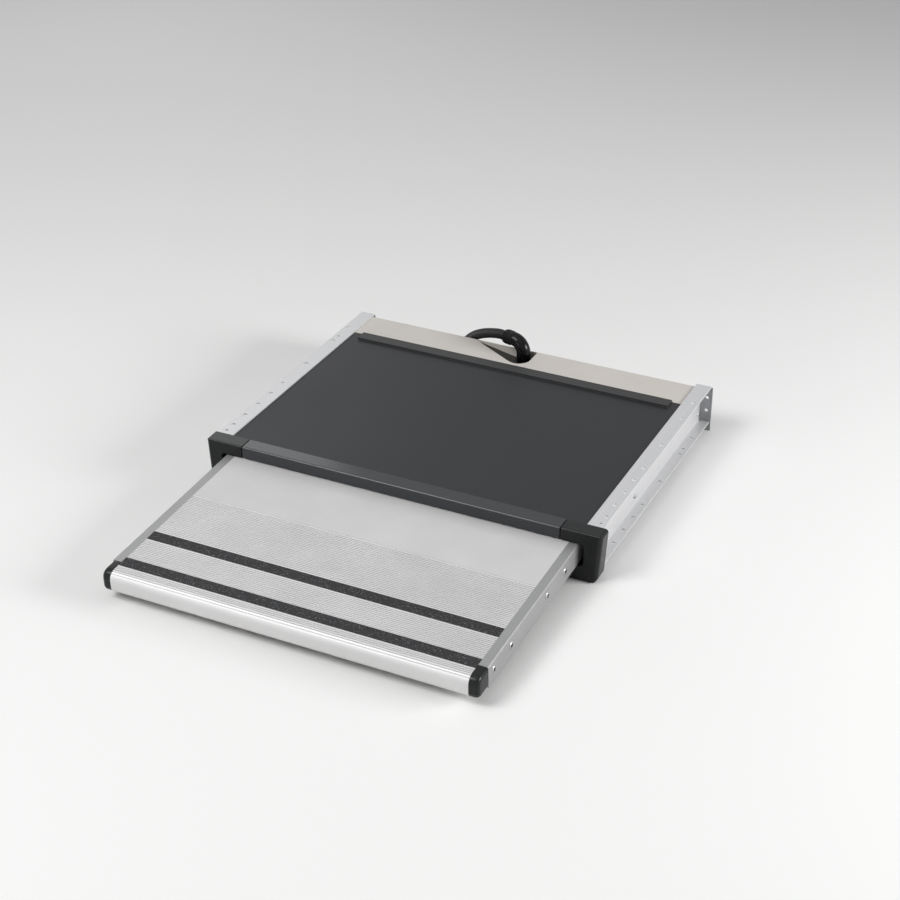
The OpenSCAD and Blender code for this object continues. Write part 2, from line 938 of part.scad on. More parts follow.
// Rings of the ribbed wall: a crest and a root for each rib, and the plain ends
ring_sides = 8;
rib_h = 1;
rib_count = floor((conduit_l - 2 * conduit_pitch) / conduit_pitch);
rib_start = (conduit_l - rib_count * conduit_pitch) / 2;
stations = concat(
    [[0, conduit_d / 2 - rib_h]],
    [for (k = [0:rib_count - 1], half = [0, 1])
        [rib_start + (k + 0.25 + half / 2) * conduit_pitch, conduit_d / 2 - half * rib_h]],
    [[conduit_l, conduit_d / 2 - rib_h]]
);
function ring(l, r) =
    let (
        here = curve_at(l),
        ahead = curve_at(min(l + 1, conduit_l)) - curve_at(max(l - 1, 0)),
        dir = ahead / norm(ahead),
        side = cross(dir, [0, 1, 0]),
        up = side / norm(side),
        over = cross(up, dir)
    )
    [for (k = [0:ring_sides - 1])
        let (turn = k * 360 / ring_sides)
            here + r * (cos(turn) * up + sin(turn) * over)];

// Triangles between two rings whose first points are a and b
function ring_band(a, b) = [
    for (k = [0:ring_sides - 1])
        let (next = (k + 1) % ring_sides)
            each [[a + k, a + next, b + next], [a + k, b + next, b + k]]
];

module conduit() {
    rings = len(stations);
    points = [
        for (wall = [0, 1], s = stations)
            each ring(s[0], wall == 0 ? s[1] : conduit_bore / 2)
    ];
    inner = rings * ring_sides;
    last = (rings - 1) * ring_sides;
    faces = concat(
        [for (i = [0:rings - 2]) each ring_band(i * ring_sides, (i + 1) * ring_sides)],
        [for (i = [0:rings - 2]) each ring_band(inner + (i + 1) * ring_sides, inner + i * ring_sides)],
        ring_band(inner, 0),
        ring_band(last, inner + last)
    );
    color("black")
        polyhedron(points, faces);
}

// Least gap between stretches of the conduit that lie three diameters or more apart along it
gap_step = 8;
gap_points = [for (l = [0:gap_step:conduit_l]) curve_at(l)];
conduit_gap = min([
    for (i = [0:len(gap_points) - 1], j = [i + ceil(3 * conduit_d / gap_step):1:len(gap_points) - 1])
        norm(gap_points[i] - gap_points[j]) - conduit_d
]);
echo(conduit_length = conduit_l, conduit_gap = conduit_gap);
echo(origin_y = origin_y, travel = travel, reach = reach);

module conduit_plug() {
    end = conduit_route[last_knot];
    collar_l = 12;
    body_l = 28;
    body_w = 24;
    body_h = 16;
    color("black")
        translate(end)
            rotate([0, 0, 180]) {
                rod_x(0, collar_l, conduit_d);
                along_x(collar_l, collar_l + body_l)
                    translate([-body_w / 2, -body_h / 2])
                        rounded_square(body_w, body_h, [3, 3, 3, 3]);
                along_x(collar_l + 4, collar_l + body_l - 4)
                    translate([-body_w / 4, body_h / 2])
                        square([body_w / 2, 2]);
            }
}

// Tread

module on_nose() {
    in_slide()
        translate([0, -reach, 0])
            children();
}

function arc(centre, r, a0, a1) = [
    for (k = [0:8])
        let (a = a0 + (a1 - a0) * k / 8)
            centre + r * [cos(a), sin(a)]
];

// Rounded front of the nose, from its top edge down to its lower edge
nose_curve = concat(
    arc([nose_top_r, -nose_top_r], nose_top_r, 90, 180),
    arc([nose_bottom_r, nose_bottom_r - tread_h], nose_bottom_r, 180, 270)
);

// The same curve with the panel's grooves carried on over the upper edge, in step with those on the flat
nose_grooves = 3;
groove_land = 1.2;
flat_n1 = front_grip_gap - groove_land;
flat_n0 = flat_n1 - rib_pitch * floor((flat_n1 - nose_top_r) / rib_pitch);
rib_w = rib_pitch - groove_w;
rib_turn = rib_pitch / nose_top_r * 180 / PI;
groove_turn = groove_w / nose_top_r * 180 / PI;
first_turn = max(0.2, nose_top_r - flat_n0 + rib_w) / nose_top_r * 180 / PI;

function nose_at(a, depth) = [nose_top_r, -nose_top_r] + (nose_top_r - depth) * [cos(a), sin(a)];

ribbed_nose_curve = concat(
    [for (k = [0:nose_grooves - 1])
        let (b = 90 + first_turn + k * rib_turn, a = k == 0 ? 90 : b + groove_turn - rib_turn, c = b + groove_turn)
            each [nose_at(a, 0), nose_at(b, 0), nose_at(b, groove_h), nose_at(c, groove_h)]],
    arc([nose_top_r, -nose_top_r], nose_top_r, 90 + first_turn + (nose_grooves - 1) * rib_turn + groove_turn, 180),
    arc([nose_bottom_r, nose_bottom_r - tread_h], nose_bottom_r, 180, 270)
);

// Grooves between two places on the panel, listed from the rear to the front
function grooves(n0, n1) = [
    for (k = [0:floor((n1 - n0) / rib_pitch + 0.01) - 1])
        let (n = n1 - k * rib_pitch - rib_w)
            each [[n, 0], [n, -groove_h], [n - groove_w, -groove_h], [n - groove_w, 0]]
];

function grip_recess(n) = [[n + grip_w, 0], [n + grip_w, -recess_h], [n, -recess_h], [n, 0]];

module panel_ports(rows) {
    for (n = rows)
        translate([n, -tread_screw_drop])
            circle(d = tread_screw_d + 2 * hole_gap);
}

// Hollow chambers of a panel, each given by its front and rear ends
module panel_chambers(spans) {
    skin = 3;
    base = 2;
    for (span = spans)
        translate([span[0], base - panel_t])
            rounded_square(span[1] - span[0], panel_t - base - skin, [2, 2, 2, 2]);
}

module ribbed_tread_panel() {
    front_ports = [screw_rows[0], screw_rows[1]];
    mid_n = (front_ports[1] + ribbed_d) / 2;
    color("lightgray")
        on_nose()
            along_x(-tread_x0, tread_x0)
                difference() {
                    polygon(concat(
                        [[ribbed_d, 0]],
                        grooves(rear_grip_gap + grip_w + groove_land, ribbed_d - groove_land),
                        grip_recess(rear_grip_gap),
                        grooves(front_grip_gap + grip_w + groove_land, rear_grip_gap - groove_land),
                        grip_recess(front_grip_gap),
                        grooves(flat_n0, flat_n1),
                        ribbed_nose_curve,
                        [[nose_d, -tread_h], [nose_d, -panel_t], [ribbed_d, -panel_t]]
                    ));
                    translate([3, 3 - tread_h])
                        rounded_square(nose_d - 5, tread_h - 6, [nose_bottom_r - 3, 2, 2, nose_top_r - 3]);
                    panel_chambers([
                        [nose_d + 4, front_ports[0] - port_wall],
                        [front_ports[0] + port_wall, front_ports[1] - port_wall],
                        [front_ports[1] + port_wall, mid_n - 1], [mid_n + 1, ribbed_d - 3]
                    ]);
                    panel_ports(front_ports);
                }
}

module plain_tread_panel() {
    joint_gap = 0.5;
    n0 = ribbed_d + joint_gap;
    n1 = reach + bar_s0;
    rear_ports = [screw_rows[2], screw_rows[3]];
    mid_n = (rear_ports[1] + n1) / 2;
    color("lightgray")
        on_nose()
            along_x(-tread_x0, tread_x0)
                difference() {
                    translate([n0, -panel_t])
                        square([n1 - n0, panel_t]);
                    panel_chambers([
                        [rear_ports[0] + port_wall, rear_ports[1] - port_wall],
                        [rear_ports[1] + port_wall, mid_n - 1], [mid_n + 1, n1 - 3]
                    ]);
                    panel_ports(rear_ports);
                }
}

module tread_rail_section(inset) {
    bevel = max(0.2, tread_bevel - inset * (2 - sqrt(2)));
    polygon([
        [tread_x0 + inset, inset - tread_h], [tread_x1 - inset, inset - tread_h],
        [tread_x1 - inset, -inset - bevel], [tread_x1 - inset - bevel, -inset], [tread_x0 + inset, -inset]
    ]);
}

module tread_screws_at() {
    for (n = screw_rows)
        translate([tread_x1, n - reach, -tread_screw_drop])
            children();
}

module tread_rail(side) {
    color("gainsboro")
        on_side(side)
            in_slide()
                difference() {
                    along_y(nose_cap_l - reach, rail_s1)
                        difference() {
                            tread_rail_section(0);
                            tread_rail_section(tread_rail_t);
                        }
                    tread_screws_at()
                        rod_x(-2 * tread_rail_w, 1, tread_screw_d + 2 * hole_gap);
                }
}

module left_tread_rail() {
    tread_rail(-1);
}

module right_tread_rail() {
    tread_rail(1);
}

module tread_screws() {
    head_d = 10.5;
    head_h = 1.5;
    bite = 16;
    shank_l = tread_rail_w + bite;
    color("silver")
        for (side = [-1, 1])
            on_side(side)
                in_slide()
                    tread_screws_at() {
                        rod_x(0, head_h, head_d);
                        rod_x(-shank_l, head_h, tread_screw_d);
                    }
}

module grip_strip(n) {
    color("black")
        on_nose()
            block([-tread_x0, tread_x0], [n, n + grip_w], [-recess_h, grip_proud]);
}

module front_grip_strip() {
    grip_strip(front_grip_gap);
}

module rear_grip_strip() {
    grip_strip(rear_grip_gap);
}

module nose_cap(side) {
    plan_r = 8;
    edge_r = 5;
    color("black")
        on_side(side)
            on_nose()
                intersection() {
                    along_x(tread_x0, tread_x1)
                        polygon(concat(nose_curve, [[nose_cap_l, -tread_h], [nose_cap_l, 0]]));
                    along_z(-tread_h, 0)
                        translate([tread_x0, 0])
                            rounded_square(tread_rail_w, nose_cap_l, [0, plan_r, 0, 0]);
                    along_y(0, nose_cap_l)
                        translate([tread_x0, -tread_h])
                            rounded_square(tread_rail_w, tread_h, [0, edge_r, edge_r, 0]);
                }
}

module left_nose_cap() {
    nose_cap(-1);
}

module right_nose_cap() {
    nose_cap(1);
}

module rear_crossbar() {
    top_gap = 2;
    color("silver")
        in_slide()
            block([-tread_x0, tread_x0], [bar_s0, rail_s1], [-bar_drop, -top_gap]);
}

module nut_bracket() {
    half_w = 18;
    color("slategray")
        in_slide()
            difference() {
                block([screw_x - half_w, screw_x + half_w], [rail_s1, rail_s1 + nut_bracket_t],
                      [-screw_drop - nut_d / 2 - 3, -bar_drop + 18]);
                translate([screw_x, 0, -screw_drop])
                    rod_y(rail_s1 - 1, rail_s1 + nut_bracket_t + 1, nut_d + 2 * hole_gap);
            }
}

module drive_nut() {
    nut_l = 14;
    color("ivory")
        in_slide()
            translate([screw_x, 0, -screw_drop])
                difference() {
                    union() {
                        rod_y(rail_s1 + nut_bracket_t - nut_l, rail_s1 + nut_bracket_t, nut_d);
                        rod_y(rail_s1 + nut_bracket_t, tread_tail, nut_d + 8);
                    }
                    rod_y(rail_s1 - nut_l, tread_tail + 1, screw_d + 2 * slide_gap);
                }
}

module rear_shoe(side) {
    plug_l = 12;
    color("ivory")
        on_side(side)
            in_slide() {
                along_y(rail_s1, tread_tail)
                    tread_rail_section(0);
                along_y(rail_s1 - plug_l, rail_s1)
                    tread_rail_section(tread_rail_t + hole_gap);
            }
}

module left_rear_shoe() {
    rear_shoe(-1);
}

module right_rear_shoe() {
    rear_shoe(1);
}

left_side_rail();
right_side_rail();
left_plate_ledge();
right_plate_ledge();
top_plate();
rear_cover();
rear_wall();
bottom_tray();
front_bezel();
left_corner_cap();
right_corner_cap();
left_lower_runner();
right_lower_runner();
left_glide_strip();
right_glide_strip();
left_upper_guide();
right_upper_guide();
bump_stops();
tray_screws();
wall_brackets();
wall_rivets();
gearbox_housing();
gearbox_cover();
drive_motor();
motor_end_cap();
drive_mount();
screw_bearing_block();
screw_bush();
conduit_elbow();
elbow_locknut();
conduit();
conduit_plug();
ribbed_tread_panel();
plain_tread_panel();
left_tread_rail();
right_tread_rail();
front_grip_strip();
rear_grip_strip();
left_nose_cap();
right_nose_cap();
tread_screws();
rear_crossbar();
nut_bracket();
drive_nut();
left_rear_shoe();
right_rear_shoe();
lead_screw();
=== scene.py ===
import json
import math

import bmesh
import bpy
from mathutils import Matrix, Vector, noise


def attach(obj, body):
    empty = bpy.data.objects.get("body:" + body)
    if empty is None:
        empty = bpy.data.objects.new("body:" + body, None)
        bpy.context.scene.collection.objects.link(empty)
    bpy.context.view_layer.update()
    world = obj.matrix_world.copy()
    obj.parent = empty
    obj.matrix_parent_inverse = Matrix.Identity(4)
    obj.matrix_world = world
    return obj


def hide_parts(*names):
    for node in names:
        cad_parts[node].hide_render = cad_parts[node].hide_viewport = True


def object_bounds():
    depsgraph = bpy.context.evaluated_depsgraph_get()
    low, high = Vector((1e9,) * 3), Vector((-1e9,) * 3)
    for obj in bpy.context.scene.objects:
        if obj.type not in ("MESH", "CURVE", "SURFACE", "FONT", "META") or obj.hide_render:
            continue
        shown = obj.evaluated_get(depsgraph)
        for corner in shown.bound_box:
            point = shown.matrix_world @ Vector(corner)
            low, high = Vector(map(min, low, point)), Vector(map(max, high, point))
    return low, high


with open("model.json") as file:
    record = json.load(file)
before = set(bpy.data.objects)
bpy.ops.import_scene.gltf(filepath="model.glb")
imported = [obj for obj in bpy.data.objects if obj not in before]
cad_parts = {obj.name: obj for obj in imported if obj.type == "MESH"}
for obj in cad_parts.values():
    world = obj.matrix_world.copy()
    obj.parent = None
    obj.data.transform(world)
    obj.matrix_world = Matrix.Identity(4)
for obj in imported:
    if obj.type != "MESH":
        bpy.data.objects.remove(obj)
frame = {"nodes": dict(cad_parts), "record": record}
cad_low, cad_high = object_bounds()
scene = bpy.context.scene
scene.view_settings.view_transform = "Standard"

# Sizes of the step in millimetres, as in the part's source
MM = 0.001
ORIGIN_Y = 76.8
CASE_D = 466.0
WEB_X1 = 284.0
TREAD_Z = 56.5
FALL = math.radians(2.12)
REACH = 315.0
TREAD_X0, TREAD_X1 = 260.25, 274.0
NOSE_TOP_R = 12.0
GROOVE_H = 0.9
NOSE_CAP_ROUND = 6.0
GRIP_W = 19.2
GRIP_RECESS = 1.0
GRIP_PROUD = 0.3
FRONT_GRIP, REAR_GRIP = 21.5, 88.6
TREAD_SCREW_ROWS = (44.0, 96.0, 210.0, 269.0)
TREAD_SCREW_DROP = 13.6
TRAY_SCREW_Y, TRAY_SCREW_Z = 186.0, 32.0
RIVET_INSET = 6.0
RIVET_ROWS = (27.0, 53.0)
PLATE_TOP_Z = 74.0
RECESS_X0, RECESS_X1 = -95.0, 22.0
POCKET_LOW_Z = 56.0
RAISED_STRIP_D = 20.0
REAR_COVER_D = 68.0

# Fasteners in millimetres: head diameter, head height, shank diameter, shank length
TREAD_SCREW = (10.5, 1.5, 4.0, 29.0)
TRAY_SCREW = (7.0, 2.2, 3.5, 4.0)
# A pan head's crown, as shares of its radius and height, from the middle outwards
PAN_CROWN = ((0, 1), (0.4, 0.98), (0.72, 0.86), (0.92, 0.6), (1, 0.28), (1, 0))
# The cross in it: width and length of an arm as shares of the head's diameter, its taper towards the floor,
# and the floor's share of the head's height
CROSS_W, CROSS_L, CROSS_TAPER, CROSS_FLOOR = 0.2, 0.34, 0.75, 0.1
# How far a crown's faces may lean, as the upward part of their normal
CROWN_LEAN = 0.2
# Turn of a screw's cross in radians: of the first in a row on the tread, from each to the next, and on the tray
TREAD_CROSS_TURN, TREAD_CROSS_STEP, TRAY_CROSS_TURN = 0.5, 0.7, 0.4
# A rivet's half section, with the hole of its mandrel, and the steps it is turned in
RIVET_SECTION = (
    (0, 0.7), (0.75, 0.7), (0.9, 1.35), (1.6, 1.3), (2.6, 0.85), (3.1, 0.3), (3.2, 0),
    (1.6, 0), (1.6, -6.0), (0, -6.0),
)
RIVET_STEPS = 24

# Grit of the grip strips: cells across and along a strip, height in millimetres, and fine and coarse grains
# to the metre
GRIT_ACROSS, GRIT_ALONG = 640, 24
GRIT_H = 0.28
FINE_GRIT, COARSE_GRIT = 3000, 1700

# Where the painted shade and painted sheen start. In the recess: the rim in millimetres below the plate, and how
# far a slope's normal points to the front, the rear and down
RECESS_RIM = 0.3
FRONTMOST, REARMOST, UNDERMOST = -0.9, 0.5, -0.1
# The raised strip's margin in front and the height of its foot, in millimetres
STRIP_MARGIN, STRIP_FOOT = 1, 0.05
# Where the grooves' painted shade lies: a groove's walls and floor, as shares of its depth
GROOVE_FROM, GROOVE_TO = 0.3, 1.05

# Work on meshes: merging distance in millimetres, angles in degrees
MERGE_DIST = 0.001
FLAT_ANGLE = 0.3
HARD_EDGE = 35

# The nose end of the sloping tread: x across, y back from the nose, z up from the tread's top
NOSE = (
    Matrix.Translation((0, -ORIGIN_Y * MM, TREAD_Z * MM))
    @ Matrix.Rotation(FALL, 4, "X")
    @ Matrix.Translation((0, -REACH * MM, 0))
)

# Middle line of the conduit in millimetres, from the elbow's mouth to the plug
CONDUIT_ROUTE = (
    (-36, 376, 95), (-44, 378, 95), (-52, 380, 94), (-66, 384, 90), (-79, 388, 85), (-91, 392, 78.7),
    (-102, 396, 71), (-112, 399.5, 61.5), (-122, 403, 51), (-132, 405.5, 41), (-143, 407, 31.5),
    (-156, 408, 23), (-171, 408, 16), (-188, 408, 11), (-207, 408, 8.6), (-228, 408, 8.2),
    (-246, 408, 8.2), (-262, 408, 8.2),
)
CONDUIT_D = 16.0
CONDUIT_VALLEY_D = 13.6
CONDUIT_PITCH = 3.2
# How it is drawn: the gap between points in millimetres, the samples between two stops, and how broad a crest is
CONDUIT_POINT_GAP = CONDUIT_PITCH / 8
ROUTE_SAMPLES = 60
CREST_BREADTH = 1.8


# Camera at the photograph's viewing angle: its dip below level and its turn to the left, in degrees

CAMERA_DIP = 30.138
CAMERA_TURN = 25.744
camera_data = bpy.data.cameras.new("camera")
camera_data.lens = 74.769
camera_data.sensor_width = 36
camera_data.clip_end = 50
camera = bpy.data.objects.new("camera", camera_data)
camera.location = (1.027875, -2.033561, 1.415791)
camera.rotation_euler = (math.radians(90 - CAMERA_DIP), 0, math.radians(CAMERA_TURN))
scene.collection.objects.link(camera)
scene.camera = camera


# Corrugated conduit, one line whose thickness rises and falls rib by rib

def even_points(route, spacing):
    """Points about a spacing apart along one smooth curve through the route."""
    stops = [Vector(p) for p in route]
    stops = [2 * stops[0] - stops[1], *stops, 2 * stops[-1] - stops[-2]]
    fine = []
    for a, b, c, d in zip(stops, stops[1:], stops[2:], stops[3:]):
        for k in range(ROUTE_SAMPLES):
            t = k / ROUTE_SAMPLES
            second = (2 * a - 5 * b + 4 * c - d) * t ** 2
            third = (3 * b - a - 3 * c + d) * t ** 3
            fine.append(0.5 * (2 * b + (c - a) * t + second + third))
    fine.append(stops[-2])
    run = [0.0]
    for p, q in zip(fine, fine[1:]):
        run.append(run[-1] + (q - p).length)
    count = round(run[-1] / spacing)
    even, i = [], 0
    for k in range(count + 1):
        s = run[-1] * k / count
        while i < len(fine) - 2 and run[i + 1] < s:
            i += 1
        even.append(fine[i].lerp(fine[i + 1], (s - run[i]) / (run[i + 1] - run[i])))
    return even


def rib_swell(s):
    """Share of the conduit's radius at a length s: a rounded crest, then a valley of the same width."""
    wave = math.cos(2 * math.pi * s / CONDUIT_PITCH)
    crest = 0.5 + 0.5 * max(-1.0, min(1.0, CREST_BREADTH * wave))
    return (CONDUIT_VALLEY_D + (CONDUIT_D - CONDUIT_VALLEY_D) * crest) / CONDUIT_D


conduit_points = even_points(CONDUIT_ROUTE, CONDUIT_POINT_GAP)
conduit_curve = bpy.data.curves.new("conduit_line", "CURVE")
conduit_curve.dimensions = "3D"
conduit_curve.bevel_depth = CONDUIT_D / 2 * MM
conduit_curve.bevel_resolution = 6
conduit_curve.use_fill_caps = True
conduit_spline = conduit_curve.splines.new("POLY")
conduit_spline.points.add(len(conduit_points) - 1)
for k, point in enumerate(conduit_points):
    conduit_spline.points[k].co = (*(point * MM), 1)
    conduit_spline.points[k].radius = rib_swell(k * CONDUIT_POINT_GAP)
conduit_spline.use_smooth = True
conduit = bpy.data.objects.new("conduit_ribbed", conduit_curve)
scene.collection.objects.link(conduit)


# Finishes

def colour(code):
    """An sRGB hex colour as linear red, green, blue and alpha."""
    channels = [int(code[k:k + 2], 16) / 255 for k in (1, 3, 5)]
    return (*(c / 12.92 if c <= 0.04045 else ((c + 0.055) / 1.055) ** 2.4 for c in channels), 1)


def per_mm(*sizes):
    """Pattern scale per metre for a feature of each size in millimetres."""
    return tuple(1000 / size for size in sizes)


def add(tree, kind, sockets=None, **settings):
    """Adds one node with its settings; a socket takes a value or another node's output."""
    made = tree.nodes.new("ShaderNode" + kind)
    for key, value in settings.items():
        setattr(made, key, value)
    for key, value in (sockets or {}).items():
        if isinstance(value, bpy.types.NodeSocket):
            tree.links.new(value, made.inputs[key])
        else:
            made.inputs[key].default_value = value
    return made


def new_finish(name, **shader_values):
    """A material with its shader's fixed values set, and the place of each point on the piece."""
    finish = bpy.data.materials.new(name)
    finish.use_nodes = True
    tree = finish.node_tree
    shader = tree.nodes["Principled BSDF"]
    for key, value in shader_values.items():
        shader.inputs[key.replace("_", " ")].default_value = value
    return finish, tree, shader, add(tree, "TexCoord").outputs["Object"]


def connect(tree, shader, shade, gloss, relief=None):
    """Links a mixed colour, a range of roughness and, where there is one, a relief to the shader."""
    tree.links.new(shade.outputs[2], shader.inputs["Base Color"])
    tree.links.new(gloss.outputs[0], shader.inputs["Roughness"])
    if relief:
        tree.links.new(relief.outputs[0], shader.inputs["Normal"])


def grained_finish(name, pale, deep, rough, grain_mm, relief_mm, cloud_mm=60.0, cloud=0.25, **shader_values):
    """A finish with a fine grain in colour, gloss and relief, and soft clouds over it."""
    finish, tree, shader, place = new_finish(name, **shader_values)
    scaled = add(tree, "Mapping", {"Vector": place, "Scale": per_mm(*grain_mm)})
    grain = add(tree, "TexNoise", {"Vector": scaled.outputs[0], "Scale": 1.0, "Detail": 3.0,
                                   "Roughness": 0.6})
    clouds = add(tree, "TexNoise", {"Vector": place, "Scale": per_mm(cloud_mm)[0], "Detail": 2.0})
    mixed = add(tree, "Mix", {0: cloud, 2: grain.outputs[0], 3: clouds.outputs[0]}, data_type="FLOAT")
    tone = add(tree, "MapRange", {"Value": mixed.outputs[0], "From Min": 0.3, "From Max": 0.7})
    shade = add(tree, "Mix", {0: tone.outputs[0], 6: colour(deep), 7: colour(pale)}, data_type="RGBA")
    gloss = add(tree, "MapRange", {"Value": mixed.outputs[0], "From Min": 0.3, "From Max": 0.7,
                                   "To Min": rough[0], "To Max": rough[1]})
    relief = add(tree, "Bump", {"Height": grain.outputs[0], "Distance": relief_mm * MM, "Strength": 1.0})
    connect(tree, shader, shade, gloss, relief)
    return finish


# Mill-finish aluminium extrusion: pale silver with fine die lines along the rail and a satin spread of light.
# Its oxide film scatters about half of the light, so it is half metallic. Die lines are about 0.3 mm apart,
# drawn at 0.9 mm so that they show.
rail_aluminium = grained_finish(
    "mill_finish_aluminium", "#D4D4D5", "#CBCBCC", (0.46, 0.54), (0.9, 180, 0.9), 0.004,
    cloud=0.1, Metallic=0.5)

# Silver anodised aluminium: even, fine matt etch whose clear film scatters half of the light, and die lines
# across the tread. Etch grain is about 0.1 mm, drawn at 0.7 mm.
tread_aluminium = grained_finish(
    "silver_anodised_aluminium", "#DDDCDC", "#D4D3D3", (0.5, 0.58), (160, 0.7, 0.7), 0.003,
    cloud=0.6, Metallic=0.5)

# The plain panel's skin: a thicker, milkier film than on the ribs, which hardly mirrors the bezel over it
plain_aluminium = grained_finish(
    "milky_anodised_aluminium", "#D2D1D1", "#C9C8C8", (0.58, 0.66), (160, 0.9, 0.9), 0.002,
    cloud=0.6, Metallic=0.15, Specular_IOR_Level=0.3)

# The same skin down in the grooves, a shade darker and less metallic: painted shade in the grooves
groove_painted_shade = grained_finish(
    "anodised_groove_painted_shade", "#CBCBCB", "#C2C2C2", (0.58, 0.66), (160, 0.7, 0.7), 0.003,
    cloud=0.6, Metallic=0.4)

# Grey anodised aluminium: a darker, smoother skin than the panels, with die lines along the rail
tread_rail_aluminium = grained_finish(
    "grey_anodised_aluminium", "#A2A2A2", "#989898", (0.46, 0.54), (0.8, 170, 0.8), 0.003, Metallic=0.5)

# Anthracite powder coat on sheet: dark and matt, with the slight orange peel of a sprayed plate.
# Orange peel is about 1.5 mm across, drawn at 2.5 mm.
plate_paint = grained_finish(
    "anthracite_powder_coat", "#242527", "#1E1F21", (0.4, 0.52), (2.5, 2.5, 2.5), 0.01,
    cloud_mm=140.0, cloud=0.5, Specular_IOR_Level=0.3)

# The folded rear strip of the plate: the same coat, painted paler along its fold as a painted sheen
strip_painted_sheen = grained_finish(
    "anthracite_coat_painted_sheen", "#333334", "#2B2B2C", (0.42, 0.56), (60, 1.2, 1.2), 0.01,
    Specular_IOR_Level=0.35)

# Warm grey polyester paint on coated sheet: flat and clean, with a faint flow along the length
cover_paint = grained_finish(
    "warm_grey_coil_paint", "#D0CBC5", "#C6C1BB", (0.5, 0.6), (40, 4, 4), 0.004, cloud_mm=90.0, cloud=0.5)

# Dark satin colour on the recess's slope round the cable, in place of the cover's warm grey: painted shade and
# painted reflection of the dark conduit; satin, so the slope carries a soft grey sheen
recess_painted_shade = grained_finish(
    "recess_slope_painted_shade", "#2C2B2A", "#222120", (0.26, 0.38), (3, 3, 3), 0.01, cloud_mm=30.0, cloud=0.5)

# Anthracite coat on the bezel's extrusion: a shade bluer and smoother than the plate
bezel_paint = grained_finish(
    "anthracite_coat_on_extrusion", "#303337", "#2A2D30", (0.12, 0.18), (150, 1.2, 1.2), 0.002,
    Specular_IOR_Level=0.45)

# Black ABS moulding with a fine spark-eroded grain: soft highlights on its rounded edges.
# The grain is about 0.3 mm, drawn at 0.8 mm.
cap_plastic = grained_finish(
    "black_grained_abs", "#1E1F20", "#18191A", (0.2, 0.28), (0.8, 0.8, 0.8), 0.006, Specular_IOR_Level=0.24)

# Glossy black polyamide of the elbow: near black, with small sharp highlights
elbow_plastic = grained_finish(
    "black_polyamide_gloss", "#0D0D0E", "#080809", (0.14, 0.2), (1.5, 1.5, 1.5), 0.004,
    Specular_IOR_Level=0.2)

# Matt black polyamide conduit, a little dusty on its ribs
conduit_plastic = grained_finish(
    "black_polyamide_matt", "#1E1E1F", "#141415", (0.36, 0.5), (1.8, 1.8, 1.8), 0.02, Specular_IOR_Level=0.4)

# Bright zinc on steel fasteners: cool, slightly mottled
zinc_steel = grained_finish(
    "bright_zinc_on_steel", "#C3C4C5", "#ADAFB1", (0.34, 0.46), (1.6, 1.6, 1.6), 0.01, Metallic=1.0)

# Painted shade in a screw's cross: dull and nearly black
cross_painted_shade = grained_finish(
    "screw_cross_painted_shade", "#2A2A2B", "#1B1B1C", (0.6, 0.8), (0.8, 0.8, 0.8), 0.02, Specular_IOR_Level=0.2)

# Natural nylon: milky and waxy
nylon = grained_finish(
    "natural_nylon", "#E6E2D6", "#DCD7C9", (0.4, 0.52), (2.0, 2.0, 2.0), 0.01, IOR=1.53)

# Black rubber: dull
stop_rubber = grained_finish(
    "black_rubber", "#242424", "#1A1A1A", (0.7, 0.85), (1.5, 1.5, 1.5), 0.03, IOR=1.52)

# Die-cast aluminium: grey, with a flow-marked matt skin
cast_alloy = grained_finish(
    "die_cast_aluminium", "#BEBFC0", "#A6A7A9", (0.42, 0.6), (2.2, 2.2, 2.2), 0.05, Metallic=1.0)

# Black enamel on the motor's drawn can: smooth, with a soft shine
motor_paint = grained_finish(
    "black_motor_enamel", "#26272A", "#1C1D20", (0.3, 0.42), (3, 3, 3), 0.01, IOR=1.5)

# Dark grey glass-filled nylon of the motor's end: dull, with a faint fibre mottle
motor_plastic = grained_finish(
    "grey_glass_filled_nylon", "#3C3D3F", "#303133", (0.45, 0.6), (1.2, 1.2, 1.2), 0.02, IOR=1.53)

# Sintered bronze: dull gold with open pores
bronze = grained_finish(
    "sintered_bronze", "#B58A58", "#977146", (0.38, 0.55), (0.9, 0.9, 0.9), 0.04, Metallic=1.0)


# Hot-dip galvanised sheet: cool grey, with spangle cells about 9 mm across that each catch the light in their
# own way
galvanised_sheet, tree, shader, place = new_finish("galvanised_sheet", Metallic=1.0)
spangle = add(tree, "TexVoronoi", {"Vector": place, "Scale": per_mm(9)[0], "Randomness": 1.0})
film = add(tree, "TexNoise", {"Vector": place, "Scale": per_mm(3)[0], "Detail": 3.0})
cell_tone = add(tree, "SeparateColor", {0: spangle.outputs["Color"]})
tone = add(tree, "Mix", {0: 0.35, 2: cell_tone.outputs[0], 3: film.outputs[0]}, data_type="FLOAT")
shade = add(tree, "Mix", {0: tone.outputs[0], 6: colour("#8C8F91"), 7: colour("#A2A4A6")}, data_type="RGBA")
gloss = add(tree, "MapRange", {"Value": tone.outputs[0], "To Min": 0.26, "To Max": 0.4})
connect(tree, shader, shade, gloss)


# Rolled steel screw: bands of a 5 mm thread pitch, in relief as soft ridges round the shaft, their colour a
# painted highlight on each crest and painted shade between.
# The wave pattern runs through 20 radians in each unit of its scale.
WAVE_RADIANS = 20
screw_steel, tree, shader, place = new_finish("rolled_screw_steel", Metallic=1.0)
bands = add(tree, "TexWave", {"Vector": place, "Scale": per_mm(5)[0] / WAVE_RADIANS * 2 * math.pi,
                              "Distortion": 0.0},
            wave_type="BANDS", bands_direction="Y", wave_profile="SIN")
ridge = bands.outputs["Fac"]
shade = add(tree, "Mix", {0: ridge, 6: colour("#8E9092"), 7: colour("#BDBFC1")}, data_type="RGBA")
gloss = add(tree, "MapRange", {"Value": ridge, "To Min": 0.42, "To Max": 0.26})
relief = add(tree, "Bump", {"Height": ridge, "Distance": 1.2 * MM, "Strength": 1.0})
connect(tree, shader, shade, gloss, relief)
